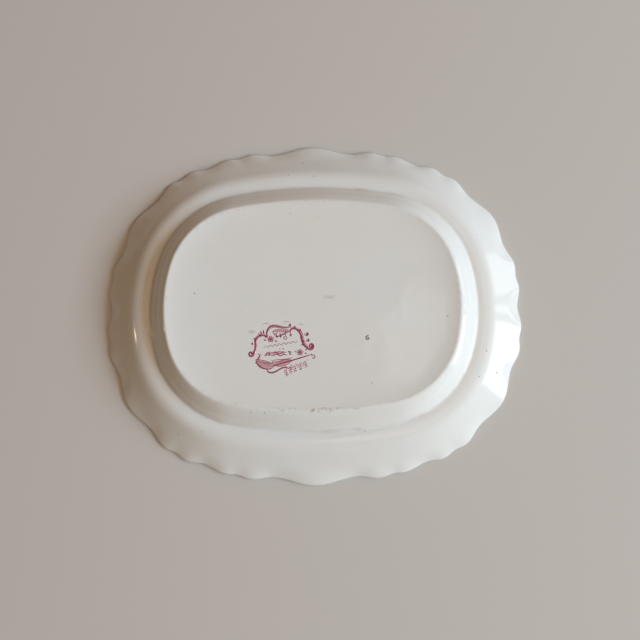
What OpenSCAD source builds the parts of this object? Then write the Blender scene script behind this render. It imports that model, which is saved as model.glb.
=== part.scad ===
// Oval serving platter of printed earthenware, lying face down on its rim.
// Z = 0 is the plane that the lip rests on, and the foot faces up.
// The plan is an oval of eight tangent arcs, the same on all four quarters.
// Every outline from the foot to the lip is a parallel copy of that oval.

/* [Foot oval] */
// Radius of the four corner arcs
corner_radius = 79; // [70:1:90]
// Distance of the corner arcs' centres from the long middle plane
corner_rise = 18.9; // [14:0.7:28]
// Distance of the corner arcs' centres from the short middle plane
corner_reach = 62.7; // [55:1.1:77]

/* [Height] */
// Overall height, table to foot
height = 43.8; // [38:0.1:50]
// Height of the crease where the wall meets the flange
crease_height = 25.5; // [22:0.1:30]

/* [Foot] */
// Width of the flat band that the foot stands on
foot_band = 10; // [6:1:16]
// Depth of the hollow inside that band
foot_hollow = 0.6; // [0.4:0.1:1.2]

/* [Wall and flange] */
// How far the crease lies outside the foot edge
wall_run = 21.5; // [18:0.5:26]
// How far the mean lip line lies outside the foot edge
rim_run = 70; // [64:0.5:76]
// Slope of the flange where it leaves the crease
flange_slope = 9; // [8:0.5:10]
// Radius of the rounded foot edge
foot_edge_radius = 4; // [3.5:0.25:4]
// Radius of the hollow at the crease
crease_radius = 6; // [5.5:0.25:6]
// Height of the two fine raised lines moulded round the wall
line_height = 0.4; // [0.3:0.05:0.5]

/* [Thickness] */
// Thickness of the well floor
floor_thickness = 5.8; // [4:0.1:8]
// Thickness of the wall and of the flange
wall_thickness = 5; // [4:0.1:7]
// Thickness at the lip
lip_thickness = 3.6; // [2.5:0.1:5]
// Thickness of the glaze and of the printed layers
coat = 0.3; // [0.2:0.05:0.5]

/* [Marks] */
// Centre of the printed maker's cartouche, left of the foot centre
stamp_x = -29; // [-60:1:60]
// Centre of the printed maker's cartouche, below the foot centre
stamp_y = -44; // [-60:1:60]
// Place of the printer's small tally mark along X
tally_x = 53; // [-90:1:90]
// Place of the printer's small tally mark along Y
tally_y = -34; // [-60:1:60]

/* [Hidden] */
$fn = 48;

// Directions in which the arcs join: sides of right triangles in whole numbers,
// so that the centres come out as round lengths and the arcs meet exactly
end_triangle = [24, 7, 25];
side_triangle = [11, 60, 61];
join_end = atan2(end_triangle[1], end_triangle[0]);
join_side = atan2(side_triangle[1], side_triangle[0]);

// Centres and radii of the three arcs of the first quarter
corner_centre = [corner_reach, corner_rise];
reach_end = corner_rise * end_triangle[2] / end_triangle[1];
reach_side = corner_reach * side_triangle[2] / side_triangle[0];
end_centre = [corner_reach - corner_rise * end_triangle[0] / end_triangle[1], 0];
side_centre = [0, corner_rise - corner_reach * side_triangle[1] / side_triangle[0]];
end_radius = corner_radius + reach_end;
side_radius = corner_radius + reach_side;

// Lip: directions of the crests and hollows in one quarter, and how far each
// lies outside the mean lip line
lobe_angles = [0, 5.8, 8.6, 12, 18.3, 26.5, 36, 42.3, 45.8, 49.2, 54.5, 61.7, 64.3, 69, 76.2, 90];
lobe_heights = [-2.4, 1.5, 0.3, 2, -2.7, 2, -3, 1.3, -0.6, 0.9, -3.2, 0.7, -0.2, 2, -1.9, 4.6];
lobe_count = len(lobe_angles);

function lobe_at(t, i = 0) =
    i >= lobe_count - 2 || t <= lobe_angles[i + 1]
        ? lobe_heights[i] + (lobe_heights[i + 1] - lobe_heights[i])
            * (1 - cos(180 * (t - lobe_angles[i]) / (lobe_angles[i + 1] - lobe_angles[i]))) / 2
        : lobe_at(t, i + 1);

// Point of the first quarter whose outward direction is t, d outside the foot
function arc_centre(t) =
    t < join_end ? end_centre : t < join_side ? corner_centre : side_centre;
function arc_radius(t) =
    t < join_end ? end_radius : t < join_side ? corner_radius : side_radius;
function oval_point(t, d) = arc_centre(t) + (arc_radius(t) + d) * [cos(t), sin(t)];
function lip_point(t) =
    let (mean = oval_point(t, rim_run))
    mean + lobe_at(atan2(mean[1], mean[0])) * [cos(t), sin(t)];

// Directions of one quarter, closer together on the flatter arcs
quarter_steps = concat(
    [for (i = [0 : 15]) join_end * i / 16],
    [for (i = [0 : 31]) join_end + (join_side - join_end) * i / 32],
    [for (i = [0 : 24]) join_side + (90 - join_side) * i / 24]
);

// The first quarter mirrored round all four quarters
function all_round(quarter) =
    let (n = len(quarter))
    concat(
        [for (i = [0 : n - 1]) quarter[i]],
        [for (i = [n - 2 : -1 : 0]) [-quarter[i][0], quarter[i][1]]],
        [for (i = [1 : n - 1]) -quarter[i]],
        [for (i = [n - 2 : -1 : 1]) [quarter[i][0], -quarter[i][1]]]
    );
lip_outline = all_round([for (t = quarter_steps) lip_point(t)]);

// Cross-section, as [distance outside the foot edge, height]
wall_slope = atan2(height - crease_height, wall_run);
section_start = -110;
lip_level_start = rim_run - 3;
section_end = rim_run + 8;
line_places = [0.5, 0.7];
line_width = 1.3;
well_corner_radius = 9;
face_crease_radius = 4;
face_crease_inset = 1.8;

// Corner between two straight runs, rounded with radius r
function rounded(p, q, s, r, steps = 4) =
    let (
        u = (p - q) / norm(p - q),
        v = (s - q) / norm(s - q),
        half = acos(u * v) / 2,
        middle = (u + v) / norm(u + v),
        centre = q + middle * r / sin(half),
        turn = 90 - half
    )
    [for (i = [0 : steps])
        let (f = turn * (2 * i / steps - 1), side = cross(v, u) > 0 ? 1 : -1)
        centre - r * (middle * cos(f) + side * [-middle[1], middle[0]] * sin(f))];

// Height of the flange over its run, level at the lip and steepest past the middle
function flange_drop(s) =
    let (e = s ^ 1.4, level = tan(flange_slope) * (lip_level_start - wall_run)
        / (crease_height - lip_thickness))
    level * s + (1 - level) * e * e * (3 - 2 * e);
function flange_points(start, stop, top, bottom, steps) =
    [for (i = [1 : steps]) [start + (stop - start) * i / steps,
                            top + (bottom - top) * flange_drop(i / steps)]];

// Two fine lines stand out along the wall between its two rounded corners
function moulded_lines(p, q, steps) =
    let (across = [p[1] - q[1], q[0] - p[0]] / norm(p - q), run = norm(p - q))
    [for (i = [1 : steps - 1])
        let (s = i / steps)
        p + (q - p) * s + across * line_height
            * (exp(-((s - line_places[0]) * run / line_width) ^ 2)
                + exp(-((s - line_places[1]) * run / line_width) ^ 2))];

// Back surface, from the foot out to the lip
foot_corner = [0, height];
foot_middle = height - foot_hollow;
foot_rise = 6;
crease = [wall_run, crease_height];
past_crease = crease + 20 * [cos(flange_slope), -sin(flange_slope)];
back_top = rounded([-foot_band, height], foot_corner, crease, foot_edge_radius);
back_low = rounded(foot_corner, crease, past_crease, crease_radius);
back_flange_start = back_low[len(back_low) - 1];
back_surface = concat(
    [[section_start, foot_middle], [-foot_band - foot_rise, foot_middle], [-foot_band, height]],
    back_top,
    moulded_lines(back_top[len(back_top) - 1], back_low[0], 16),
    back_low,
    flange_points(back_flange_start[0], lip_level_start, back_flange_start[1], lip_thickness, 9),
    [[section_end, lip_thickness]]
);

// Face surface, one wall thickness inside the back
face_floor = height - floor_thickness;
face_corner = [(floor_thickness - wall_thickness / cos(wall_slope)) / tan(wall_slope), face_floor];
face_crease_height = crease_height - wall_thickness;
face_crease = [wall_run - face_crease_inset, face_crease_height];
past_face_crease = face_crease + 20 * [cos(flange_slope), -sin(flange_slope)];
face_top = rounded([section_start, face_floor], face_corner, face_crease, well_corner_radius);
face_low = rounded(face_corner, face_crease, past_face_crease, face_crease_radius);
face_flange_start = face_low[len(face_low) - 1];
face_surface = concat(
    [[section_start, face_floor]],
    face_top,
    face_low,
    flange_points(face_flange_start[0], lip_level_start - 2, face_flange_start[1], 0, 8),
    [[section_end, 0]]
);

// The print band and the glaze of the face end where the lip's resting band starts
centre_print_edge = -44;
border_from = wall_run + 6;
border_to = rim_run - 12;
glaze_to = rim_run - 9;

function height_on(surface, x, i = 0) =
    i >= len(surface) - 2 || x <= surface[i + 1][0]
        ? let (f = (x - surface[i][0]) / (surface[i + 1][0] - surface[i][0]))
          surface[i][1] + f * (surface[i + 1][1] - surface[i][1])
        : height_on(surface, x, i + 1);
// Part of a surface between two distances, with its ends cut exactly there
function stretch(surface, from, to) = concat(
    [[from, height_on(surface, from)]],
    [for (p = surface) if (p[0] > from + 0.01 && p[0] < to - 0.01) p],
    [[to, height_on(surface, to)]]
);
function raised(line, h) = [for (p = line) p + [0, h]];
function backwards(line) = [for (i = [len(line) - 1 : -1 : 0]) line[i]];

glaze_back_section = concat(
    backwards(stretch(back_surface, section_start, section_end)),
    raised(stretch(back_surface, section_start, section_end), -coat)
);
clay_face_line = concat(
    raised(stretch(face_surface, section_start, glaze_to), coat),
    stretch(face_surface, glaze_to, section_end)
);
clay_section = concat(
    clay_face_line,
    backwards(raised(stretch(back_surface, section_start, section_end), -coat))
);
function face_layer(from, to) = concat(
    stretch(face_surface, from, to),
    backwards(raised(stretch(face_surface, from, to), coat))
);

// Whole micrometres, so that a section is the same on every arc that it crosses
function micron(v) = [for (x = v) round(x * 1000) / 1000];

// Sweeps a cross-section round one true arc: a full turn, cut to its own sector
module sweep_arc(centre, radius, section, sector) {
    intersection() {
        translate([centre[0], centre[1], 0])
            rotate_extrude($fn = 360)
                polygon([for (p = section) [max(micron(p)[0] + radius, 0), micron(p)[1]]]);
        translate([0, 0, -1])
            linear_extrude(height + 2)
                polygon(sector);
    }
}

// Sweeps a cross-section all round the oval. The corner sectors end on their own
// centres, and the side sectors meet along the middle of the platter.
module sweep_round(section) {
    end_ray = 15 * [end_triangle[0], end_triangle[1]];
    side_ray = 12 * [side_triangle[0], side_triangle[1]];
    kx = corner_centre[0];
    ky = corner_centre[1];
    for (x = [1, -1])
        sweep_arc([x * end_centre[0], 0], end_radius, section,
                  [[x * kx, -ky], [x * (kx + end_ray[0]), -ky - end_ray[1]],
                   [x * (kx + end_ray[0]), ky + end_ray[1]], [x * kx, ky]]);
    for (y = [1, -1])
        sweep_arc([0, y * side_centre[1]], side_radius, section,
                  [[kx, 0], [kx, y * ky], [kx + side_ray[0], y * (ky + side_ray[1])],
                   [-kx - side_ray[0], y * (ky + side_ray[1])], [-kx, y * ky], [-kx, 0]]);
    for (x = [1, -1], y = [1, -1])
        sweep_arc([x * kx, y * ky], corner_radius, section,
                  [[x * kx, y * ky], [x * (kx + end_ray[0]), y * (ky + end_ray[1])],
                   [x * (kx + side_ray[0]), y * (ky + side_ray[1])]]);
}

// Everything outside the lobed lip is trimmed off
module trimmed_to_lip() {
    intersection() {
        union() children();
        translate([0, 0, -1])
            linear_extrude(height + 2)
                polygon(lip_outline);
    }
}

// Pressed and fired clay in one piece: foot, wall, flange and lip
module clay_body() {
    color([0.87, 0.85, 0.8])
        trimmed_to_lip()
            sweep_round(clay_section);
}

// Glaze over the foot, the outside of the wall and the back of the flange
module glaze_back() {
    color([0.82, 0.81, 0.79])
        trimmed_to_lip()
            sweep_round(glaze_back_section);
}

// Glaze over the well, in the bands that the prints leave free
module glaze_face() {
    color([0.88, 0.87, 0.84]) {
        sweep_round(face_layer(centre_print_edge, border_from));
        sweep_round(face_layer(border_to, glaze_to));
    }
}

// Printed band round the flange, on the face
module border_print() {
    color([0.72, 0.3, 0.38])
        sweep_round(face_layer(border_from, border_to));
}

// Printed oval in the middle of the well, on the face
module centre_print() {
    color([0.76, 0.42, 0.48])
        sweep_round(face_layer(section_start, centre_print_edge));
}

// One curved stroke of the cartouche: an arc about [x, y]
module stroke(x, y, radius, from, turn, width) {
    translate([x, y, 0])
        rotate([0, 0, from])
            rotate_extrude(angle = turn)
                translate([radius - width / 2, 0])
                    square([width, 1]);
}

module dot(x, y, radius) {
    translate([x, y, 0])
        cylinder(r = radius, h = 1);
}

module bar(from, to, width) {
    run = to - from;
    translate([from[0], from[1], 0])
        rotate([0, 0, atan2(run[1], run[0])])
            translate([0, -width / 2, 0])
                cube([norm(run), width, 1]);
}

// Five round petals about [x, y]
module blossom(x, y, size) {
    for (i = [0 : 4])
        dot(x + size * cos(72 * i + 18), y + size * sin(72 * i + 18), size * 0.55);
}

// Leaf between two equal arcs
module leaf(x, y, turn, long, wide) {
    bow = (long ^ 2 / 4 + wide ^ 2 / 4) / wide;
    translate([x, y, 0])
        rotate([0, 0, turn])
            intersection() {
                translate([0, bow - wide / 2, 0])
                    cylinder(r = bow, h = 1);
                translate([0, wide / 2 - bow, 0])
                    cylinder(r = bow, h = 1);
            }
}

// Scrolled frame, plumes, staff, flowers and a plain wavy rule in the middle
module backstamp_flat() {
    // upper scroll and its end
    stroke(-5, 14, 8.5, 55, 130, 2);
    stroke(3, 1.5, 21.5, 58, 40, 2);
    dot(11, 21.5, 1.8);
    // left scroll with its curled end
    stroke(-17.5, 2, 9.5, 85, 100, 2.4);
    stroke(-36, -2.5, 9.3, -40, 65, 2.4);
    stroke(-29.5, -5.5, 3, 120, 200, 1.6);
    dot(-28, 7, 1.7);
    // right scroll with its curled end
    stroke(15, 9, 9, 15, 130, 2.6);
    stroke(40, 10.5, 16, 178, 50, 2.6);
    stroke(28.5, -2.5, 3.4, -130, 300, 1.8);
    dot(25, 12, 2.1);
    dot(26.5, 5.5, 1.7);
    // spray under the upper scroll
    blossom(-10, 9, 2.6);
    leaf(-2, 10.5, 30, 7, 2.6);
    leaf(2.5, 9.5, -25, 6, 2.4);
    leaf(6, 14, 25, 7, 2);
    blossom(10, 13, 1.2);
    // plain wavy rule
    for (i = [0 : 4])
        stroke(-14 + 6.4 * i, 0.6 * (i % 2 == 0 ? 1 : -1) + 0.4 * i, 3.6,
               i % 2 == 0 ? 35 : 215, 110, 0.7);
    // folded ribbon
    leaf(-6, -4.5, 5, 12, 4.5);
    leaf(-14, -5.5, -30, 7, 3);
    leaf(8, -5, -40, 7, 2.4);
    // plumes and their staff
    leaf(-16, -14.5, -12, 20, 9);
    leaf(3, -11.5, 12, 18, 6);
    bar([-8, -16.5], [26, -7], 0.9);
    stroke(-8, -14, 8.5, 205, 110, 1.1);
    stroke(2, -25, 8, 70, 50, 1.1);
    // flowers at the right of the staff
    blossom(15, -5, 2);
    blossom(21, -4, 1.5);
    blossom(29.5, -9.5, 1.4);
    for (i = [0 : 3])
        for (j = [0 : 2])
            leaf(5 + 5 * i + 2 * j, -19 - 2.8 * j + 1.8 * i, 50 * j - 40, 3.4, 1.3);
}

// Stands marks of unit height on the hollow of the foot
module on_foot(x, y) {
    translate([x, y, foot_middle])
        scale([1, 1, coat])
            children();
}

// Maker's cartouche, printed from one tissue
module backstamp_print() {
    color([0.68, 0.27, 0.37])
        on_foot(stamp_x, stamp_y)
            backstamp_flat();
}

// Printer's small tally mark
module tally_mark() {
    color([0.7, 0.25, 0.33])
        on_foot(tally_x, tally_y) {
            stroke(-0.9, 0.8, 1.2, 0, 360, 0.6);
            stroke(1.2, -0.6, 1.3, -60, 250, 0.6);
        }
}

clay_body();
glaze_back();
glaze_face();
border_print();
centre_print();
backstamp_print();
tally_mark();
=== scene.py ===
import math
import random

import bmesh
import bpy
from mathutils import Matrix, Vector


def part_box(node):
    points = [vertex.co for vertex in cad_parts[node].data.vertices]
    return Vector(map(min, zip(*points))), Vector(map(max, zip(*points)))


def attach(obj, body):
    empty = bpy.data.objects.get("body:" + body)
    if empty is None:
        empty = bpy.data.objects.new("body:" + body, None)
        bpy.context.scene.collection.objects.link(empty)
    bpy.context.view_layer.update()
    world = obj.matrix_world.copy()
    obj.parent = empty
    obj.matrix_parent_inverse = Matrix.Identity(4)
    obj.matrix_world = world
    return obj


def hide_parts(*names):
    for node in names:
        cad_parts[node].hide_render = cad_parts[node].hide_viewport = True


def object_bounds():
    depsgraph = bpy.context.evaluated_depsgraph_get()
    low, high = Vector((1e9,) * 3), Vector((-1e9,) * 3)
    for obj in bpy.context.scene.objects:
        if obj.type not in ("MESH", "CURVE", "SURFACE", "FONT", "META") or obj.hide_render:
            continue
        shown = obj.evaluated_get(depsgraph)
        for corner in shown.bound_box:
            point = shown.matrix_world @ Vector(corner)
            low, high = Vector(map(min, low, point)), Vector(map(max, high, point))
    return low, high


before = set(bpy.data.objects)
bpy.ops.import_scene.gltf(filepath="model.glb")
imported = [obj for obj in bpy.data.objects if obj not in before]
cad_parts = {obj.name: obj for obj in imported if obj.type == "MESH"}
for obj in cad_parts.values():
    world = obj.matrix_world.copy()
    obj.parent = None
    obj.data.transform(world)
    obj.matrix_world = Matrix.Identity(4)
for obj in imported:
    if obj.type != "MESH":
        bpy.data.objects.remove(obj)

MM = 0.001
LO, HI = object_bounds()

# ---------------------------------------------------------------- the oval
# The plan is eight tangent arcs, the same on all four quarters. `run` is the
# distance outside the foot edge, and every outline is a parallel copy of it.
END_TURN = math.atan2(7, 24)
SIDE_TURN = math.atan2(60, 11)
CORNER_RADIUS = 79 * MM
RIM_RUN = 70 * MM
BORDER_START = 27.5 * MM
BORDER_END = 58 * MM
CENTRE_EDGE = -44 * MM

FOOT_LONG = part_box("border_print")[1][0] - BORDER_END
FOOT_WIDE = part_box("border_print")[1][1] - BORDER_END
LONG_REACH = FOOT_LONG - CORNER_RADIUS
WIDE_REACH = FOOT_WIDE - CORNER_RADIUS
CORNER_Y = (WIDE_REACH - LONG_REACH / 11) / (1 - 1 / 77)
CORNER_X = LONG_REACH - CORNER_Y / 7
CORNER = Vector((CORNER_X, CORNER_Y, 0))
END_RADIUS = CORNER_RADIUS + CORNER_Y * 25 / 7
SIDE_RADIUS = CORNER_RADIUS + CORNER_X * 61 / 11
END = Vector((CORNER_X - CORNER_Y * 24 / 7, 0, 0))
SIDE = Vector((0, CORNER_Y - CORNER_X * 60 / 11, 0))
ARCS = [(END, END_TURN, 22), (CORNER, SIDE_TURN - END_TURN, 92), (SIDE, math.pi / 2 - SIDE_TURN, 46)]

# Directions of the lip's crests and hollows in a quarter, and how far out each is
LOBES = [(0, -2.4), (5.8, 1.5), (8.6, 0.3), (12, 2), (18.3, -2.7), (26.5, 2), (36, -3),
         (42.3, 1.3), (45.8, -0.6), (49.2, 0.9), (54.5, -3.2), (61.7, 0.7), (64.3, -0.2),
         (69, 2), (76.2, -1.9), (90, 4.6)]
LOBES_FROM = 53 * MM


def outward(x, y):
    """Distance outside the foot edge, and the way out, at a point of the plan."""
    p = Vector((abs(x), abs(y), 0))
    from_end = p - END
    from_side = p - SIDE
    if math.atan2(from_end.y, from_end.x) < END_TURN and p.x > CORNER.x:
        centre, radius = END, END_RADIUS
    elif math.atan2(from_side.y, from_side.x) > SIDE_TURN and p.y > 0:
        centre, radius = SIDE, SIDE_RADIUS
    else:
        centre, radius = CORNER, CORNER_RADIUS
    away = p - centre
    way = away.normalized()
    return away.length - radius, Vector((math.copysign(way.x, x), math.copysign(way.y, y), 0))


def lobe(x, y):
    """How far the lip stands out in the direction of (x, y)."""
    turn = math.degrees(math.atan2(abs(y), abs(x)))
    for (t0, h0), (t1, h1) in zip(LOBES, LOBES[1:]):
        if turn <= t1:
            ease = (1 - math.cos(math.pi * (turn - t0) / (t1 - t0))) / 2
            return (h0 + (h1 - h0) * ease) * MM
    return LOBES[-1][1] * MM


# ------------------------------------------------------------ cross-section
HEIGHT = HI[2]
CREASE_RUN = 21.5 * MM
CREASE_HEIGHT = 25.5 * MM
GROOVE_RUN = 12.4 * MM
GROOVE_DEPTH = 0.35 * MM
GROOVE_WIDTH = 1.5 * MM
FLANGE_RAMP = 24 * MM
FLANGE_LIFT = 0.17
LIP_RADIUS = 1.8 * MM
LIP_SLOPE = math.radians(32)
FACE_LIP_RUN = 66.5 * MM
FLOOR_THICK = 5.8 * MM
WALL_THICK = 5 * MM
MIDDLE = -75 * MM
DISH = 1.6 * MM
EDGE_DISH = 1.15 * MM
EDGE_REACH = 9 * MM
FACE_WALL_INSET = 4 * MM
FACE_WALL_SLOPE = 0.851

# Each roll of the wall: its height above or below the foot, its slope, how fast it steepens
UPPER_ROLL = (0.35 * MM, 0.52, 24)
LOWER_ROLL = (-10.4 * MM, 0.8, 25)
LOWER_ROLL_FROM = -4 * MM

# How gently each pair of surfaces runs together
GROOVE_EASE = 0.12 * MM
FOOT_EDGE_EASE = 0.4 * MM
CREASE_EASE = 0.8 * MM
WELL_EASE = 1.8 * MM
FACE_CREASE_EASE = 0.7 * MM

# Where the spacing of the section's points changes
FLAT_TO = -26 * MM
WELL_CORNER = -12 * MM
EDGE_FROM = -4 * MM
WALL_TO = 24 * MM


def soft_min(a, b, k):
    low = min(a, b)
    return low - k * math.log(math.exp((low - a) / k) + math.exp((low - b) / k))


def soft_max(a, b, k):
    return -soft_min(-a, -b, k)


def flange_height(run, top, end, bottom):
    """Rises a little from the crease, then falls ever more steeply to a straight slope."""
    def fall(distance):
        x = distance / FLANGE_RAMP
        turned = max(x, 0) ** 3 * (1 - x / 2) if x < 1 else x - 0.5
        return (1 + FLANGE_LIFT) * FLANGE_RAMP * turned - FLANGE_LIFT * distance
    steepness = (top - bottom) / fall(end - CREASE_RUN)
    return top - steepness * fall(run - CREASE_RUN)


def foot_height(run):
    """The foot is dished all over, and turns up a little more by its edge."""
    if run > 0:
        return HEIGHT + run * EDGE_DISH / EDGE_REACH
    spread = (run - MIDDLE) / -MIDDLE
    return HEIGHT - DISH * (1 - spread * spread) - EDGE_DISH * (1 - math.exp(run / EDGE_REACH))


def roll(distance, start, slope, bend):
    return HEIGHT + start - slope * distance - bend * distance * distance


def rolled_wall(run):
    """Two rolls, one above the other, with a fine groove between them."""
    past_groove = run - GROOVE_RUN
    wall = roll(run, *UPPER_ROLL)
    if past_groove >= LOWER_ROLL_FROM:
        wall = soft_max(wall, roll(past_groove, *LOWER_ROLL), GROOVE_EASE)
    return wall - GROOVE_DEPTH * math.exp(-(past_groove / GROOVE_WIDTH) ** 2)


def back_height(run):
    """Height of the back: dished foot, rolled edge, moulded wall, flange."""
    run = max(run, MIDDLE)
    wall = rolled_wall(max(run, WELL_CORNER))
    turned = soft_min(foot_height(run), wall, FOOT_EDGE_EASE)
    flange = flange_height(run, CREASE_HEIGHT, *LIP_TOP)
    return soft_max(turned, flange, CREASE_EASE) if run > 0 else turned


def face_height(run):
    """Height of the face: well floor, wall, flange."""
    floor = HEIGHT - FLOOR_THICK
    wall = HEIGHT - (run + FACE_WALL_INSET) * FACE_WALL_SLOPE - WALL_THICK
    flange = flange_height(run, CREASE_HEIGHT - WALL_THICK, FACE_LIP_RUN, 0)
    return soft_max(soft_min(floor, wall, WELL_EASE), flange, FACE_CREASE_EASE)


LIP_CENTRE = RIM_RUN - LIP_RADIUS
LIP_TOP = (LIP_CENTRE + LIP_RADIUS * math.sin(LIP_SLOPE), LIP_RADIUS * (1 + math.cos(LIP_SLOPE)))


def steps(start, stop, count):
    return [start + (stop - start) * i / count for i in range(count)]


def section():
    """Points (run, height) from the middle of the foot, round the lip, to the well."""
    back_runs = (steps(MIDDLE, FLAT_TO, 6) + steps(FLAT_TO, EDGE_FROM, 11)
                 + steps(EDGE_FROM, WALL_TO, 48) + steps(WALL_TO, LIP_TOP[0], 22))
    face_runs = (steps(FACE_LIP_RUN, WALL_TO, 13) + steps(WALL_TO, WELL_CORNER, 20)
                 + steps(WELL_CORNER, MIDDLE, 4) + [MIDDLE])
    points = [(run, back_height(run)) for run in back_runs]
    for i in range(9):
        turn = LIP_SLOPE + (math.pi - LIP_SLOPE) * i / 8
        points.append((LIP_CENTRE + LIP_RADIUS * math.sin(turn), LIP_RADIUS * (1 + math.cos(turn))))
    points += [(run, max(face_height(run), 0)) for run in face_runs]
    return points


# ------------------------------------------------------------------ helpers
SEAM = 0.01 * MM
LOBE_POWER = 1.6


def new_piece(name, bm, finish):
    mesh = bpy.data.meshes.new(name)
    for face in bm.faces:
        face.smooth = True
    bm.to_mesh(mesh)
    bm.free()
    piece = bpy.data.objects.new(name, mesh)
    bpy.context.scene.collection.objects.link(piece)
    mesh.materials.append(finish)
    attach(piece, "root")
    return piece


def sweep_round(bm, points, layer):
    """Sweeps a cross-section round the three arcs of a quarter and mirrors it to a full oval."""
    verts = []
    for run, height in points:
        vert = bm.verts.new((END.x + END_RADIUS + run, 0, height))
        vert[layer] = run
        verts.append(vert)
    swept = verts + [bm.edges.new(pair) for pair in zip(verts, verts[1:])]
    for centre, turn, count in ARCS:
        swept = bmesh.ops.spin(bm, geom=swept, cent=centre, axis=(0, 0, 1), angle=turn,
                               steps=count, use_merge=False, use_duplicate=False)["geom_last"]
    for axis in "XY":
        bmesh.ops.mirror(bm, geom=bm.verts[:] + bm.edges[:] + bm.faces[:],
                         merge_dist=SEAM, axis=axis)


def spread_to_lobes(bm, layer):
    """Moves the outer flange and the lip out or in to the lobed line."""
    for vert in bm.verts:
        weight = min(max((vert[layer] - LOBES_FROM) / (RIM_RUN - LOBES_FROM), 0), 1)
        if weight > 0:
            way = outward(vert.co.x, vert.co.y)[1]
            vert.co += way * lobe(vert.co.x, vert.co.y) * weight ** LOBE_POWER


# ---------------------------------------------------------------- materials
def add(nodes, kind, inputs=None, **values):
    made = nodes.new(kind)
    for key, value in values.items():
        setattr(made, key, value)
    for key, value in (inputs or {}).items():
        made.inputs[key].default_value = value
    return made


def maths(tree, operation, first, second=0.0, third=0.0):
    """A Math node; each of its terms is a socket or a number."""
    made = tree.nodes.new("ShaderNodeMath")
    made.operation = operation
    for socket, term in zip(made.inputs, (first, second, third)):
        if isinstance(term, (int, float)):
            socket.default_value = term
        else:
            tree.links.new(term, socket)
    return made.outputs[0]


def step_up(tree, value, low, high):
    """0 below low, 1 above high, eased between."""
    made = add(tree.nodes, "ShaderNodeMapRange", interpolation_type="SMOOTHSTEP")
    made.inputs["From Min"].default_value = low
    made.inputs["From Max"].default_value = high
    tree.links.new(value, made.inputs["Value"])
    return made.outputs["Result"]


def ridge(tree, value, middle, core, edge):
    """1 within core of the middle, falling to 0 at edge."""
    off = maths(tree, "ABSOLUTE", maths(tree, "SUBTRACT", value, middle))
    return maths(tree, "SUBTRACT", 1, step_up(tree, off, core, edge))


def blend(tree, amount, first, second, mode="MIX"):
    """A colour Mix node; each of its terms is a socket, a number or a colour."""
    made = add(tree.nodes, "ShaderNodeMix", data_type="RGBA", blend_type=mode)
    for socket, term in zip((made.inputs[0], made.inputs[6], made.inputs[7]), (amount, first, second)):
        if isinstance(term, tuple):
            socket.default_value = (*term, 1)
        elif isinstance(term, (int, float)):
            socket.default_value = term
        else:
            tree.links.new(term, socket)
    return made.outputs[2]


def clouds(tree, where, scale, detail=3, roughness=0.55):
    made = add(tree.nodes, "ShaderNodeTexNoise",
               {"Scale": scale, "Detail": detail, "Roughness": roughness})
    tree.links.new(where, made.inputs["Vector"])
    return made.outputs["Fac"]


def fired_glaze():
    """Group: an uneven lead glaze. Colour drifts, pin specks, gloss and slow ripples."""
    tree = bpy.data.node_groups.new("fired_glaze", "ShaderNodeTree")
    face = tree.interface
    for name, kind in (("Colour", "NodeSocketColor"), ("Tint", "NodeSocketColor"),
                       ("Specks", "NodeSocketFloat")):
        face.new_socket(name, in_out="INPUT", socket_type=kind)
    for name, kind in (("Colour", "NodeSocketColor"), ("Roughness", "NodeSocketFloat"),
                       ("Height", "NodeSocketFloat")):
        face.new_socket(name, in_out="OUTPUT", socket_type=kind)
    given = tree.nodes.new("NodeGroupInput")
    result = tree.nodes.new("NodeGroupOutput")
    where = tree.nodes.new("ShaderNodeTexCoord").outputs["Object"]
    drift = step_up(tree, clouds(tree, where, 9, 4), 0.35, 0.7)
    body = blend(tree, drift, given.outputs["Colour"], given.outputs["Tint"])
    cells = add(tree.nodes, "ShaderNodeTexVoronoi", {"Scale": 70})
    tree.links.new(where, cells.inputs["Vector"])
    near = maths(tree, "SUBTRACT", 1, step_up(tree, cells.outputs["Distance"], 0.012, 0.03))
    chosen = add(tree.nodes, "ShaderNodeSeparateColor")
    tree.links.new(cells.outputs["Color"], chosen.inputs["Color"])
    few = maths(tree, "GREATER_THAN", chosen.outputs["Red"], 0.72)
    speck = maths(tree, "MULTIPLY", maths(tree, "MULTIPLY", near, few), given.outputs["Specks"])
    tree.links.new(blend(tree, speck, body, (0.16, 0.12, 0.09)), result.inputs["Colour"])
    gloss = maths(tree, "MULTIPLY_ADD", clouds(tree, where, 35, 2), 0.06, 0.05)
    tree.links.new(gloss, result.inputs["Roughness"])
    fine = maths(tree, "MULTIPLY_ADD", clouds(tree, where, 420, 2), 0.03, clouds(tree, where, 38, 1, 0.4))
    tree.links.new(fine, result.inputs["Height"])
    return tree


FIRED_GLAZE = fired_glaze()


def glazed(name, colour, tint, specks):
    """A material with the fired glaze in it. Returns the tree, the skin and the glaze group."""
    mat = bpy.data.materials.new(name)
    mat.use_nodes = True
    tree = mat.node_tree
    skin = tree.nodes["Principled BSDF"]
    skin.inputs["IOR"].default_value = 1.5
    glaze = tree.nodes.new("ShaderNodeGroup")
    glaze.node_tree = FIRED_GLAZE
    glaze.inputs["Colour"].default_value = (*colour, 1)
    glaze.inputs["Tint"].default_value = (*tint, 1)
    glaze.inputs["Specks"].default_value = specks
    ripples = add(tree.nodes, "ShaderNodeBump", {"Strength": 1.0, "Distance": 0.00025})
    tree.links.new(glaze.outputs["Height"], ripples.inputs["Height"])
    tree.links.new(ripples.outputs["Normal"], skin.inputs["Normal"])
    tree.links.new(glaze.outputs["Colour"], skin.inputs["Base Color"])
    tree.links.new(glaze.outputs["Roughness"], skin.inputs["Roughness"])
    return mat, tree, skin, glaze


GLAZE = (0.735, 0.73, 0.715)
GLAZE_TINT = (0.725, 0.71, 0.68)


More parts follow.
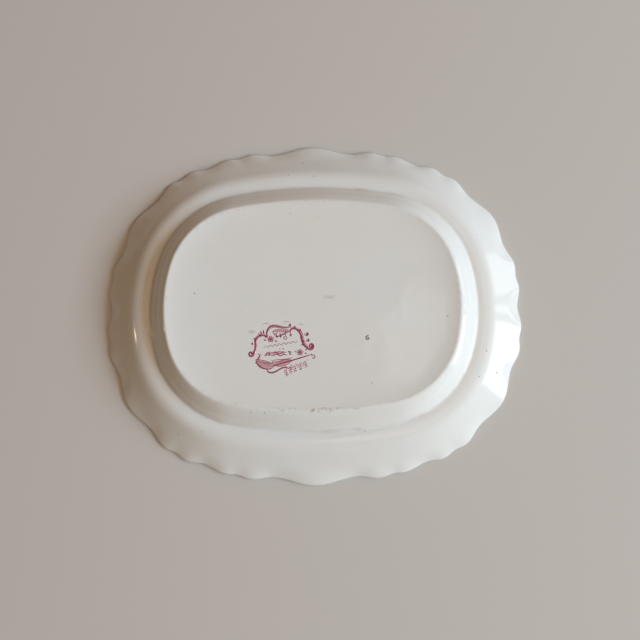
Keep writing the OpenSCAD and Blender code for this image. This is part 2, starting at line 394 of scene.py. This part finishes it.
def back_glaze():
    """Off-white glaze, rubbed grey-brown along the foot edge, with painted shade in the crease."""
    mat, tree, skin, glaze = glazed("off_white_glaze", GLAZE, GLAZE_TINT, 0.8)
    run = add(tree.nodes, "ShaderNodeAttribute", attribute_name="run").outputs["Fac"]
    coords = tree.nodes.new("ShaderNodeTexCoord").outputs["Object"]
    place = tree.nodes.new("ShaderNodeSeparateXYZ")
    tree.links.new(coords, place.inputs[0])
    grain = clouds(tree, coords, 260, 5, 0.7)
    patches = clouds(tree, coords, 30, 2)
    edge = ridge(tree, run, -0.0009, 0.0004, 0.0032)
    near_side = maths(tree, "SUBTRACT", 1, step_up(tree, place.outputs["Y"], -0.101, -0.098))
    rubbed = maths(tree, "MULTIPLY", near_side, ridge(tree, place.outputs["X"], 0.012, 0.03, 0.062))
    amount = maths(tree, "MULTIPLY_ADD", rubbed, 0.75, 0.12)
    flecks = step_up(tree, maths(tree, "MULTIPLY_ADD", patches, 0.35, grain), 0.66, 0.8)
    wear = maths(tree, "MULTIPLY", maths(tree, "MULTIPLY", edge, flecks), amount)
    worn = blend(tree, wear, glaze.outputs["Colour"], (0.33, 0.27, 0.20))
    # Painted shade: the glaze is darkened to grey-brown in a band along the crease, broken up by patches.
    crease_band = ridge(tree, run, 0.0205, 0.0005, 0.003)
    painted_crease_shade = maths(tree, "MULTIPLY", crease_band, step_up(tree, patches, 0.5, 0.75))
    crease_shaded = blend(tree, maths(tree, "MULTIPLY", painted_crease_shade, 0.4), worn, (0.45, 0.38, 0.30))
    tree.links.new(crease_shaded, skin.inputs["Base Color"])
    rough = maths(tree, "MULTIPLY_ADD", wear, 0.5, glaze.outputs["Roughness"])
    tree.links.new(rough, skin.inputs["Roughness"])
    return mat


def transfer_ink(name, colour, faint):
    """Print under the glaze: the ink takes unevenly and thins to a paler tone."""
    mat, tree, skin, glaze = glazed(name, colour, faint, 0.0)
    coords = tree.nodes.new("ShaderNodeTexCoord").outputs["Object"]
    grain = step_up(tree, clouds(tree, coords, 900, 2), 0.4, 0.62)
    taken = blend(tree, maths(tree, "MULTIPLY", grain, 0.65), glaze.outputs["Colour"], faint)
    tree.links.new(taken, skin.inputs["Base Color"])
    return mat


def speck_finish():
    return glazed("iron_speck", (0.10, 0.07, 0.05), (0.2, 0.15, 0.1), 0.0)[0]


# Painted shade: a darker grey that stands for the shade inside the pressed recess.
def impressed_shade_finish():
    return glazed("impressed_shade_grey", (0.52, 0.50, 0.46), (0.60, 0.58, 0.54), 0.0)[0]


def printed_face(name, scale):
    """Guessed all-over crimson sheet pattern: leafy cells and fine stipple on the pale glaze."""
    mat, tree, skin, glaze = glazed(name, GLAZE, GLAZE_TINT, 0.0)
    coords = tree.nodes.new("ShaderNodeTexCoord").outputs["Object"]
    bent = add(tree.nodes, "ShaderNodeTexNoise", {"Scale": scale / 2, "Detail": 2})
    tree.links.new(coords, bent.inputs["Vector"])
    moved = blend(tree, 0.02, coords, bent.outputs["Color"], "LINEAR_LIGHT")
    leaves = add(tree.nodes, "ShaderNodeTexVoronoi", {"Scale": scale}, feature="DISTANCE_TO_EDGE")
    tree.links.new(moved, leaves.inputs["Vector"])
    veins = maths(tree, "SUBTRACT", 1, step_up(tree, leaves.outputs["Distance"], 0.03, 0.09))
    dots = add(tree.nodes, "ShaderNodeTexVoronoi", {"Scale": scale * 9})
    tree.links.new(coords, dots.inputs["Vector"])
    stipple = maths(tree, "SUBTRACT", 1, step_up(tree, dots.outputs["Distance"], 0.22, 0.38))
    shade = step_up(tree, clouds(tree, coords, scale * 0.8), 0.42, 0.62)
    ink = maths(tree, "MAXIMUM", veins, maths(tree, "MULTIPLY", stipple, shade))
    printed = blend(tree, ink, glaze.outputs["Colour"], (0.42, 0.045, 0.10))
    tree.links.new(printed, skin.inputs["Base Color"])
    return mat


def plain_material(name, colour, roughness):
    mat = bpy.data.materials.new(name)
    mat.use_nodes = True
    skin = mat.node_tree.nodes["Principled BSDF"]
    skin.inputs["Base Color"].default_value = (*colour, 1)
    skin.inputs["Roughness"].default_value = roughness
    return mat


# ------------------------------------------------------------------- pieces
def close_up(bm):
    """Fills the open middle of a sweep and turns the faces outwards."""
    rims = [edge for edge in bm.edges if edge.is_boundary]
    if rims:
        bmesh.ops.holes_fill(bm, edges=rims, sides=0)
    bmesh.ops.recalc_face_normals(bm, faces=bm.faces[:])


def platter_body():
    """The whole pressed and glazed body, back and face, as one closed skin."""
    bm = bmesh.new()
    run_layer = bm.verts.layers.float.new("run")
    sweep_round(bm, section(), run_layer)
    spread_to_lobes(bm, run_layer)
    close_up(bm)
    piece = new_piece("platter_body", bm, back_glaze())
    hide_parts("clay_body", "glaze_back", "glaze_face")


PRINT_DEPTH = 0.1 * MM


def face_skin(name, start, stop, count, finish, filled):
    """A thin skin that lies on the face between two runs, as the fired print does."""
    bm = bmesh.new()
    run_layer = bm.verts.layers.float.new("run")
    runs = steps(start, stop, count) + [stop]
    lower = [(run, face_height(run) - PRINT_DEPTH) for run in runs]
    upper = [(run, face_height(run) + PRINT_DEPTH) for run in reversed(runs)]
    sweep_round(bm, lower + upper + ([] if filled else lower[:1]), run_layer)
    spread_to_lobes(bm, run_layer)
    bmesh.ops.remove_doubles(bm, verts=bm.verts[:], dist=0.005 * MM)
    close_up(bm)
    piece = new_piece(name, bm, finish)
    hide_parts(name)


# --------------------------------------------------------- the printed marks
TALLY_LO, TALLY_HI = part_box("tally_mark")
STAMP = Vector((-29.8 * MM, -43.9 * MM, 0))
TALLY = Vector(((TALLY_LO[0] + TALLY_HI[0]) / 2, (TALLY_LO[1] + TALLY_HI[1]) / 2, 0))
IMPRESSED = Vector((16.5 * MM, 6.8 * MM, 0))
LINE_RISE = 0.05 * MM
WASH_RISE = 0.01 * MM


class Pen:
    """Draws strokes that swell and taper, then lays them flat on the dished foot."""

    def __init__(self, name, origin):
        self.curve = bpy.data.curves.new(name, "CURVE")
        self.curve.dimensions = "3D"
        self.curve.bevel_depth = MM
        self.curve.bevel_resolution = 1
        self.curve.resolution_u = 5
        self.curve.use_fill_caps = True
        self.origin = origin

    def stroke(self, points, width, ends=0.3):
        """A stroke through points in mm, widest in the middle; ends is how thin it tapers."""
        spline = self.curve.splines.new("BEZIER")
        spline.bezier_points.add(len(points) - 1)
        for i, (knot, (x, y)) in enumerate(zip(spline.bezier_points, points)):
            knot.co = (x * MM, y * MM, 0)
            knot.handle_left_type = knot.handle_right_type = "AUTO"
            swell = max(math.sin(math.pi * i / (len(points) - 1)), 0) ** 0.7
            knot.radius = width / 2 * (ends + (1 - ends) * swell)

    def dot(self, x, y, size):
        self.stroke([(x - size * 0.3, y), (x, y), (x + size * 0.3, y)], size, 0.55)

    def leaf(self, x, y, turn, length, width):
        """A bent leaf from its stalk at (x, y)."""
        a = math.radians(turn)
        bend = 0.18 * length
        middle = (x + math.cos(a) * length / 2 - math.sin(a) * bend,
                  y + math.sin(a) * length / 2 + math.cos(a) * bend)
        self.stroke([(x, y), middle, (x + math.cos(a) * length, y + math.sin(a) * length)], width, 0.12)

    def sprig(self, x, y, turn, length, leaves, size):
        """A stem with leaves in pairs."""
        a = math.radians(turn)
        tip = (x + math.cos(a) * length, y + math.sin(a) * length)
        self.stroke([(x, y), ((x + tip[0]) / 2 - math.sin(a), (y + tip[1]) / 2 + math.cos(a)), tip], 0.35)
        for i in range(leaves):
            t = (i + 0.7) / leaves
            px, py = x + math.cos(a) * length * t, y + math.sin(a) * length * t
            self.leaf(px, py, turn + 55, size, size * 0.5)
            self.leaf(px, py, turn - 55, size, size * 0.5)

    def blossom(self, x, y, size):
        """Five broad petals round (x, y)."""
        for i in range(5):
            turn = 72 * i + 15
            self.leaf(x + math.cos(math.radians(turn)) * size * 0.2,
                      y + math.sin(math.radians(turn)) * size * 0.2, turn, size * 0.8, size * 0.62)

    def ring(self, x, y, size, width):
        """An open ring, such as a petal's outline."""
        self.stroke(curl(x, y, size, 100, 345, 1), width, 0.8)

    def hatch(self, x, y, long, wide, turn, count, width):
        """Fine parallel strokes that fill an oval."""
        a = math.radians(turn)
        for i in range(count):
            t = (i + 0.5) / count * 2 - 1
            half = wide * math.sqrt(1 - t * t)
            cx, cy = x + math.cos(a) * long * t, y + math.sin(a) * long * t
            dx, dy = -math.sin(a) * half, math.cos(a) * half
            self.stroke([(cx - dx, cy - dy), (cx + 0.25, cy), (cx + dx, cy + dy)], width, 0.5)

    def lay(self, finish, rise, flatness=0.08):
        """Turns the strokes to a mesh, flattens it and lays it on the foot."""
        holder = bpy.data.objects.new("pen", self.curve)
        bpy.context.scene.collection.objects.link(holder)
        bpy.context.view_layer.update()
        drawn = holder.evaluated_get(bpy.context.evaluated_depsgraph_get())
        mesh = bpy.data.meshes.new_from_object(drawn)
        bpy.data.objects.remove(holder)
        bm = bmesh.new()
        bm.from_mesh(mesh)
        bmesh.ops.remove_doubles(bm, verts=bm.verts[:], dist=0.002 * MM)
        for vert in bm.verts:
            x, y, z = vert.co + self.origin
            vert.co = (x, y, back_height(outward(x, y)[0]) + rise + z * flatness)
        bmesh.ops.recalc_face_normals(bm, faces=bm.faces[:])
        return new_piece(self.curve.name, bm, finish)


def curl(x, y, size, start, turn, shrink=0.3):
    """Points of a spiral round (x, y) that closes from size to shrink times size."""
    count = max(int(abs(turn) / 40), 3)
    points = []
    for i in range(count + 1):
        t = i / count
        a = math.radians(start + turn * t)
        r = size * (1 - (1 - shrink) * t)
        points.append((x + math.cos(a) * r, y + math.sin(a) * r))
    return points


# The strokes are drawn in millimetres from the middle of their mark
LEFT_SCROLL = [(-16, 13.2), (-19.5, 13), (-22.6, 11.7), (-25.2, 8), (-25, 4), (-25.3, 0.5)]
TOP_SCROLL = [(-14.5, 13.5), (-14, 17.5), (-12, 20.8), (-8.8, 22.4), (-4.5, 22.2), (1, 21), (6, 20.6)]
RIGHT_SCROLL = [(8, 16.2), (9.5, 19), (12.5, 19.6), (16.2, 17.5), (18.6, 14), (19.6, 9.5),
                (21.4, 4.6), (24.8, 0.8)]
INNER_BRANCH = [(8.5, 17.6), (4.5, 15.6), (0.4, 13.6), (-3.6, 12.2), (-7, 12.6)]
LOWER_SWAG = [(-15, -19.2), (-13, -22), (-9.5, -23), (-5, -21.6), (-1, -19.2), (3.5, -18), (7, -19)]
STAFF = [(-8.4, -16.4), (4, -13), (16, -9.6), (27, -6.4)]


def backstamp_washes(pen):
    """The paler tone that the engraver's stipple gives round the dark lines."""
    pen.stroke(LEFT_SCROLL + curl(-29.6, -4.4, 2.9, 20, -330), 2.6, 0.7)
    pen.stroke(TOP_SCROLL, 2.4, 0.7)
    pen.stroke([(-9, 16.6), (-4, 17.9), (2, 17.4), (7, 18)], 3, 0.5)
    pen.stroke(RIGHT_SCROLL + curl(28.4, 2.2, 3.2, -130, 300), 3, 0.7)
    pen.stroke(INNER_BRANCH, 1.7, 0.5)
    pen.blossom(-10.9, 9.6, 3.4)
    pen.blossom(17.6, -3.6, 3.2)
    pen.blossom(8.6, 13.2, 1.9)
    pen.stroke([(-16, -5.6), (-12, -4.4), (-8, -5.4), (-2, -3.6), (4, -4.4)], 3.4, 0.5)
    pen.stroke([(-25, -12), (-19, -15.4), (-12, -16.6), (-7, -15)], 7.4, 0.4)
    pen.stroke([(-9.5, -13), (-3, -14.4), (3, -12.6), (9.5, -10.6)], 5.6, 0.35)
    pen.stroke(LOWER_SWAG, 1.7, 0.5)
    for i in range(4):
        pen.leaf(3 + 5 * i, -16 + 0.9 * i, -75 + 6 * i, 5.5, 2)
    pen.leaf(-22, -5, -95, 6.5, 1.8)


def backstamp_scrolls(pen):
    """The frame of the cartouche: scrolls that end in curls, and the striped band between them."""
    pen.stroke(LEFT_SCROLL + curl(-29.6, -4.4, 2.9, 20, -420), 1.15, 0.5)
    pen.stroke([(x - 1.3, y + 0.9) for x, y in LEFT_SCROLL[1:]], 0.5)
    pen.stroke(curl(-26.6, 9.4, 1.6, -60, 250), 0.8, 0.6)
    pen.stroke(TOP_SCROLL[::-1] + curl(-15.6, 12.6, 1.7, 30, -250), 1.1, 0.6)
    pen.stroke([(x + 0.4, y - 1.4) for x, y in TOP_SCROLL[1:]], 0.45)
    pen.stroke([(6, 20.6)] + curl(7.4, 22.4, 1.5, 230, 320), 1.1, 0.6)
    for i in range(8):
        x = -8 + 1.9 * i
        pen.stroke([(x, 16 + 0.1 * i), (x + 0.5, 17.3), (x + 0.3, 18.6)], 0.45)
    pen.stroke([(8.4, 14.6)] + RIGHT_SCROLL + curl(28.4, 2.2, 3.2, -130, 420), 1.35, 0.5)
    pen.stroke([(x + 1.3, y + 1) for x, y in RIGHT_SCROLL[2:]], 0.55)
    for x, y, size in ((12.4, 21.2, 1.2), (17.6, 18.2, 1.3), (24.4, 14.4, 2.2), (25.4, 8.4, 1.8),
                       (29, 2.2, 2)):
        pen.stroke(curl(x, y, size, 180, 300), 1.0, 0.7)
        pen.dot(x, y, size * 1.1)
    for x, y, size in ((20.8, 7, 2.6), (8.2, 23.2, 2.6), (-28.6, 5.2, 2.8), (-29.4, -4.2, 2)):
        pen.dot(x, y, size)
    pen.stroke([(18.8, 3.4), (20.4, 3.7), (22.6, 3.2)], 1.3, 0.5)
    pen.leaf(20.6, 12, 200, 2.6, 1.3)
    for x, y, turn, length in ((-17.6, 13.4, 125, 5.4), (-16.6, 14, 98, 5), (-19.4, 13.2, 145, 4.2)):
        pen.leaf(x, y, turn, length, 1.6)
    for x, y, long in ((-29.4, 17.6, 7.5), (-28.8, 15.8, 6), (-15.6, 24.6, 8), (4.4, 26.2, 6.4),
                       (18.4, 23.6, 5)):
        pen.stroke([(x - long / 2, y - 1), (x, y + 0.4), (x + long / 2, y - 0.6)], 0.42, 0.4)


def backstamp_flowers(pen):
    """Blossoms, branch leaves and the plain wavy rule in the middle."""
    pen.stroke(INNER_BRANCH, 0.8, 0.5)
    for x, y, turn in ((4.4, 15.8, 100), (2.4, 14.6, -60), (-0.8, 13.4, 110), (-2, 12.8, -75),
                       (-5, 12.6, 95)):
        pen.leaf(x, y, turn, 2.6, 1.2)
    for x, y in ((-10.9, 9.6), (17.6, -3.6)):
        for i in range(5):
            turn = math.radians(72 * i + 15)
            pen.ring(x + 2 * math.cos(turn), y + 2 * math.sin(turn), 1.05, 0.55)
        pen.dot(x, y, 2.1)
    for x, y, turn in ((-14.6, 8.6, 160), (-14, 11.6, 130), (-7.2, 8, -35), (-5, 13, 80),
                       (-6.4, 13.4, 110)):
        pen.leaf(x, y, turn, 3.2, 1.4)
    for x, y, size in ((-4.6, 11.6, 2.2), (-0.8, 12, 1.9), (2.2, 10.9, 1.4)):
        pen.dot(x, y, size)
    pen.ring(3.4, 10.7, 1.5, 0.7)
    pen.blossom(8.6, 13.2, 1.3)
    pen.stroke([(8.4, 15.4), (8.8, 14.2), (8.6, 12)], 0.5)
    rule = [(-17.8 + 2.2 * i, 1.4 + 0.34 * i + (1.25 if i % 2 else -0.55)) for i in range(16)]
    pen.stroke(rule, 0.55, 0.5)
    pen.dot(-1.8, -0.2, 1.3)
    pen.dot(1.3, 0.2, 1.6)


def backstamp_foot(pen):
    """Ribbons, plumes and sprigs below the rule."""
    pen.stroke([(-17, -6.4)] + curl(-13, -5.6, 2.2, 200, -330), 0.9, 0.5)
    pen.stroke([(-10, -4.4), (-6, -3), (-2.6, -5), (1.8, -3), (4.4, -4)], 1, 0.4)
    pen.stroke([(-9, -6.6), (-5.4, -5), (-1.6, -6.8), (2.6, -5.4), (5.4, -6.4)], 0.9, 0.4)
    for x, y, turn, length in ((5.4, -3, -20, 4.4), (9.8, -5.6, 150, 3.6), (12, -2.4, -40, 2.4),
                               (21.6, -4.6, -20, 3), (22.4, -2, 20, 2.6), (-21.8, -6.6, 30, 2.4),
                               (-22.6, -9, 200, 2.4), (27, -6.2, -10, 3.2)):
        pen.leaf(x, y, turn, length, 0.6 + 0.2 * length)
    pen.stroke([(-23, -4.4), (-21.4, -6.6), (-23, -9), (-21.6, -11)], 1, 0.4)
    pen.stroke([(-25.6, -10.4), (-22, -15.4), (-15, -19.2), (-9.6, -18.6), (-6.6, -15.4)], 0.8, 0.4)
    pen.stroke([(-25.6, -10.4), (-19, -10.8), (-13, -12.6), (-6.6, -15.4)], 0.7, 0.4)
    pen.hatch(-16.4, -14.6, 8, 3.1, -18, 17, 0.36)
    pen.stroke([(-10.6, -11.6), (-4.6, -10.6), (3, -10.2), (10.6, -8.6)], 0.7, 0.4)
    pen.stroke([(-7, -16.6), (-1, -16.8), (5.4, -14.8), (10.8, -11.6)], 0.7, 0.4)
    pen.hatch(0.6, -13.2, 9, 2.3, 12, 17, 0.36)
    pen.stroke(STAFF, 1.25, 0.7)
    pen.stroke(curl(30.4, -8.4, 2.2, 140, -330), 0.9, 0.5)
    pen.stroke(LOWER_SWAG, 1.1, 0.5)
    pen.stroke(curl(8, -19.6, 1.4, 120, -280), 0.7, 0.5)
    for x, y, turn in ((2, -20, -60), (6.5, -16.6, -70), (11.4, -15.4, -78), (16.4, -13.6, -74),
                       (21, -11.6, -66)):
        pen.sprig(x, y, turn, 6.4, 3, 1.9)
    for x, y in ((4.6, -24.6), (9.4, -24), (14, -21.6), (18.6, -20.2), (22.6, -15.8), (25, -11.2)):
        pen.dot(x, y, 1)


def backstamp():
    """The printed cartouche: pale washes, and dark lines that stand a hair above them."""
    washes = Pen("backstamp_tone", STAMP)
    backstamp_washes(washes)
    pale = transfer_ink("pale_crimson", (0.64, 0.32, 0.37), (0.69, 0.47, 0.49))
    washes.lay(pale, WASH_RISE, 0.01)
    lines = Pen("backstamp_lines", STAMP)
    backstamp_scrolls(lines)
    backstamp_flowers(lines)
    backstamp_foot(lines)
    dark = transfer_ink("dark_crimson", (0.26, 0.02, 0.06), (0.42, 0.07, 0.12))
    piece = lines.lay(dark, LINE_RISE)
    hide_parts("backstamp_print")


def tally():
    """The painter's small looped tally."""
    pen = Pen("painter_tally", TALLY)
    loop = [(1.2, 2), (-0.6, 1.2), (-1.6, -0.4), (-0.8, -1.8), (0.8, -1.7), (1, -0.4), (-0.4, 0.1)]
    pen.stroke(loop, 0.95, 0.7)
    pen.dot(2.1, -1.6, 0.8)
    ink = transfer_ink("purple_brown_ink", (0.05, 0.02, 0.025), (0.12, 0.06, 0.065))
    piece = pen.lay(ink, LINE_RISE)
    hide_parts("tally_mark")


def impressed_mark():
    """A small pressed workman's mark, generic, drawn as raised grey strokes: the grey is painted shade of
    the pressed recess.
    """
    pen = Pen("impressed_mark", IMPRESSED)
    for i in range(5):
        pen.stroke([(-5 + 2.4 * i, -0.8), (-4.6 + 2.4 * i, 0.6), (-4.1 + 2.4 * i, 0.9)], 0.8, 0.6)
    pen.stroke([(-6, -1.6), (0, -1.3), (6, -1.4)], 0.7, 0.5)
    pen.lay(impressed_shade_finish(), LINE_RISE)


# The larger specks: place and size in millimetres
SPECKS = [(-9.3, 156, 0.7), (-24.3, 138.4, 0.45), (2.3, 136.8, 0.55), (171.5, -47.2, 0.65),
          (183.4, -68.5, 0.6), (163.2, -72.3, 0.5), (-134.6, -125.6, 0.5), (-109.5, -122.9, 0.45),
          (-59.4, -104.6, 0.5), (-46.3, -104.8, 0.45), (-124.1, -147.2, 0.4), (49.6, -123.5, 0.45),
          (-21.1, 91.2, 0.4), (6.7, 86.6, 0.4), (-115.5, 11.7, 0.55), (131, -14.5, 0.5),
          (56.3, -77.8, 0.5)]
SMALL_SPECKS = 26
SPECK_GROWTH = 1.35
SPECKS_END = 62 * MM


def iron_specks():
    """Iron flecks that burned through the glaze, each a flattened grain."""
    bm = bmesh.new()
    luck = random.Random(5)
    flecks = list(SPECKS)
    for _ in range(SMALL_SPECKS):
        flecks.append((luck.uniform(-190, 190), luck.uniform(-150, 150), luck.uniform(0.15, 0.28)))
    for x, y, size in flecks:
        if outward(x * MM, y * MM)[0] > SPECKS_END:
            continue
        made = bmesh.ops.create_icosphere(bm, subdivisions=1, radius=size * SPECK_GROWTH * MM)["verts"]
        bmesh.ops.scale(bm, vec=(1, luck.uniform(0.6, 1), 0.18), verts=made)
        turn = Matrix.Rotation(luck.uniform(0, math.pi), 3, "Z")
        bmesh.ops.rotate(bm, cent=(0, 0, 0), matrix=turn, verts=made)
        for vert in made:
            px, py = vert.co.x + x * MM, vert.co.y + y * MM
            vert.co = (px, py, back_height(outward(px, py)[0]) + vert.co.z)
    new_piece("iron_specks", bm, speck_finish())


platter_body()
face_skin("border_print", BORDER_START, BORDER_END, 12, printed_face("border_crimson", 60), False)
face_skin("centre_print", MIDDLE, CENTRE_EDGE, 4, printed_face("centre_crimson", 45), True)
backstamp()
tally()
impressed_mark()
iron_specks()


# ---------------------------------------------------------------- the stage
def floor():
    bm = bmesh.new()
    bmesh.ops.create_grid(bm, x_segments=1, y_segments=1, size=6)
    mesh = bpy.data.meshes.new("floor")
    bm.to_mesh(mesh)
    bm.free()
    ground = bpy.data.objects.new("floor", mesh)
    bpy.context.scene.collection.objects.link(ground)
    mesh.materials.append(plain_material("pale_floor", (0.55, 0.52, 0.49), 0.6))


def lamp(name, azimuth, elevation, distance, size, radiance, colour, shines=True, fills=True):
    """An area light that faces the platter. It shines in the glaze, fills the shade, or both."""
    a, e = math.radians(azimuth), math.radians(elevation)
    place = Vector((math.cos(e) * math.cos(a), math.cos(e) * math.sin(a), math.sin(e))) * distance
    light = bpy.data.lights.new(name, "AREA")
    light.shape = "RECTANGLE"
    light.size, light.size_y = size
    light.energy = radiance * math.pi * size[0] * size[1]
    light.color = colour
    lit = bpy.data.objects.new(name, light)
    lit.location = place
    lit.rotation_euler = (-place).to_track_quat("-Z", "Y").to_euler()
    lit.visible_glossy = shines
    lit.visible_diffuse = fills
    bpy.context.scene.collection.objects.link(lit)


def lights():
    """Soft daylight from the right, warm fill, and the window's panes that shine in the glaze."""
    lamp("daylight", -10, 28, 6, (6, 1.5), 18.5, (0.67, 0.855, 1), shines=False)
    lamp("room_front", -75, 40, 6, (5, 3), 2.2, (1, 0.57, 0.18), shines=False)
    lamp("room_back", 75, 40, 6, (5, 3), 1.7, (1, 0.48, 0.1), shines=False)
    lamp("ceiling", -20, 75, 6, (5, 2.5), 1.3, (0.85, 0.93, 1))
    lamp("pane_far", 17.5, 11, 2.6, (0.59, 0.8), 1.9, (0.9, 0.97, 1), fills=False)
    lamp("pane_slit", 7, 11, 2.6, (0.1, 0.8), 2.0, (0.9, 0.97, 1), fills=False)
    lamp("pane_near", -9.5, 11, 2.6, (1.15, 0.8), 3.3, (0.9, 0.97, 1), fills=False)
    lamp("warm_bulb", 180, 25, 2.0, (0.1, 0.07), 60, (1, 0.78, 0.5), fills=False)


def dim_room():
    world = bpy.data.worlds.new("room")
    world.use_nodes = True
    world.node_tree.nodes["Background"].inputs["Color"].default_value = (0.42, 0.36, 0.3, 1)
    world.node_tree.nodes["Background"].inputs["Strength"].default_value = 0.04
    bpy.context.scene.world = world
    bpy.context.scene.view_settings.view_transform = "Standard"


def camera():
    data = bpy.data.cameras.new("camera")
    data.lens = 31.5
    data.sensor_width = 36
    eye = bpy.data.objects.new("camera", data)
    eye.location = (0.0167, -0.091, 0.5805)
    turn = Matrix.Rotation(math.radians(7.882), 4, "X") @ Matrix.Rotation(math.radians(0.973), 4, "Y")
    eye.rotation_euler = (turn @ Matrix.Rotation(math.radians(-0.785), 4, "Z")).to_euler()
    bpy.context.scene.collection.objects.link(eye)
    bpy.context.scene.camera = eye


floor()
lights()
dim_room()
camera()

bpy.context.view_layer.update()
